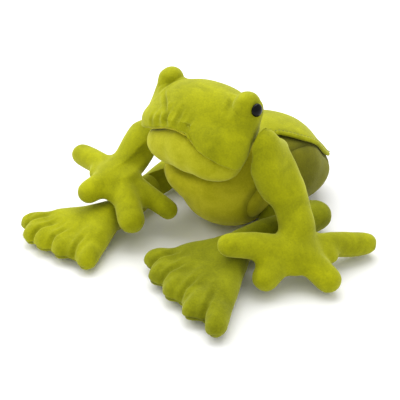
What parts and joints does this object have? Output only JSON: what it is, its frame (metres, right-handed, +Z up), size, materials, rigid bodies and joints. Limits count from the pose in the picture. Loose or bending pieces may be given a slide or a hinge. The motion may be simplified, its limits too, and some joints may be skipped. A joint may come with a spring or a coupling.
{
  "type": "hand puppet",
  "caption": "Plush frog hand puppet seated with spread hands and feet: glove passage from the rear into a working mouth, turning head, flexing arms and legs.",
  "frame": {"origin": "on the flat seat under the torso, below the chest", "axes": "+Z up from the table, -Y the way the frog faces, +X the frog's left"},
  "size_m": [0.3089, 0.3173, 0.16],
  "materials": {
    "green_plush": "velour pile, matt with a pale sheen at grazing angles",
    "pale_plush": "velour pile, matt with a pale sheen",
    "belly_plush": "velour pile, matt with a pale sheen",
    "lining_knit": "thin knitted lining",
    "wadding": "loose polyester wadding",
    "black_plastic": "gloss",
    "washer_plastic": "matt"
  },
  "bodies": {
    "torso": {"back_cover": "green_plush", "belly_panel": "belly_plush", "side_panel_left": "belly_plush", "side_panel_right": "belly_plush", "hem_binding": "green_plush", "stuffing": "wadding", "glove_lining": "lining_knit"},
    "neck": {"neck_ring": "lining_knit"},
    "lower_jaw": {"jaw_shell": "pale_plush", "mouth_floor": "pale_plush"},
    "head": {"crown_shell": "green_plush", "mouth_roof": "green_plush", "eye_bump_left": "green_plush", "eye_bump_right": "green_plush", "eye_left": "black_plastic", "eye_right": "black_plastic", "eye_washer_left": "washer_plastic", "eye_washer_right": "washer_plastic"},
    "upper_arm_left": {"upper_arm_left": "green_plush"},
    "forearm_left": {"forearm_left": "green_plush"},
    "hand_left": {"hand_back_left": "green_plush", "hand_palm_left": "green_plush"},
    "thigh_left": {"thigh_left": "green_plush"},
    "shin_left": {"shin_left": "green_plush"},
    "foot_left": {"foot_top_left": "green_plush", "foot_sole_left": "green_plush"},
    "upper_arm_right": {"upper_arm_right": "green_plush"},
    "forearm_right": {"forearm_right": "green_plush"},
    "hand_right": {"hand_back_right": "green_plush", "hand_palm_right": "green_plush"},
    "thigh_right": {"thigh_right": "green_plush"},
    "shin_right": {"shin_right": "green_plush"},
    "foot_right": {"foot_top_right": "green_plush", "foot_sole_right": "green_plush"}
  },
  "joints": [
    {"name": "head_turn", "type": "hinge", "parent": "torso", "child": "neck", "pos_m": [0, -0.034, 0.092], "axis": [0, 0, 1], "range_deg": [-8, 8]},
    {"name": "head_nod", "type": "hinge", "parent": "neck", "child": "lower_jaw", "pos_m": [0, -0.034, 0.092], "axis": [-1, 0, 0], "range_deg": [0, 12]},
    {"name": "mouth_open", "type": "hinge", "parent": "lower_jaw", "child": "head", "pos_m": [0, -0.034, 0.092], "axis": [-1, 0, 0], "range_deg": [0, 30]},
    {"name": "shoulder_left", "type": "hinge", "parent": "torso", "child": "upper_arm_left", "pos_m": [0.068, -0.016, 0.099], "axis": [-1, 0, 0], "range_deg": [0, 35]},
    {"name": "elbow_left", "type": "hinge", "parent": "upper_arm_left", "child": "forearm_left", "pos_m": [0.083, -0.022, 0.071], "axis": [-1, 0, 0], "range_deg": [0, 30]},
    {"name": "wrist_left", "type": "hinge", "parent": "forearm_left", "child": "hand_left", "pos_m": [0.108, -0.036, 0.044], "axis": [-1, 0, 0], "range_deg": [0, 20]},
    {"name": "hip_left", "type": "hinge", "parent": "torso", "child": "thigh_left", "pos_m": [0.058, -0.004, 0.021], "axis": [0, 0, -1], "range_deg": [0, 8]},
    {"name": "knee_left", "type": "hinge", "parent": "thigh_left", "child": "shin_left", "pos_m": [0.086, 0.028, 0.021], "axis": [0, 0, -1], "range_deg": [0, 8]},
    {"name": "ankle_left", "type": "hinge", "parent": "shin_left", "child": "foot_left", "pos_m": [0.068, -0.066, 0.02], "axis": [0, 0, -1], "range_deg": [0, 15]},
    {"name": "shoulder_right", "type": "hinge", "parent": "torso", "child": "upper_arm_right", "pos_m": [-0.073, -0.02, 0.089], "axis": [-1, 0, 0], "range_deg": [0, 35]},
    {"name": "elbow_right", "type": "hinge", "parent": "upper_arm_right", "child": "forearm_right", "pos_m": [-0.083, -0.048, 0.077], "axis": [-1, 0, 0], "range_deg": [0, 30]},
    {"name": "wrist_right", "type": "hinge", "parent": "forearm_right", "child": "hand_right", "pos_m": [-0.077, -0.074, 0.061], "axis": [-1, 0, 0], "range_deg": [0, 20]},
    {"name": "hip_right", "type": "hinge", "parent": "torso", "child": "thigh_right", "pos_m": [-0.058, 0.006, 0.021], "axis": [0, 0, -1], "range_deg": [0, 20]},
    {"name": "knee_right", "type": "hinge", "parent": "thigh_right", "child": "shin_right", "pos_m": [-0.09, 0.008, 0.021], "axis": [0, 0, -1], "range_deg": [0, 30]},
    {"name": "ankle_right", "type": "hinge", "parent": "shin_right", "child": "foot_right", "pos_m": [-0.062, -0.108, 0.02], "axis": [0, 0, -1], "range_deg": [0, 15]}
  ]
}
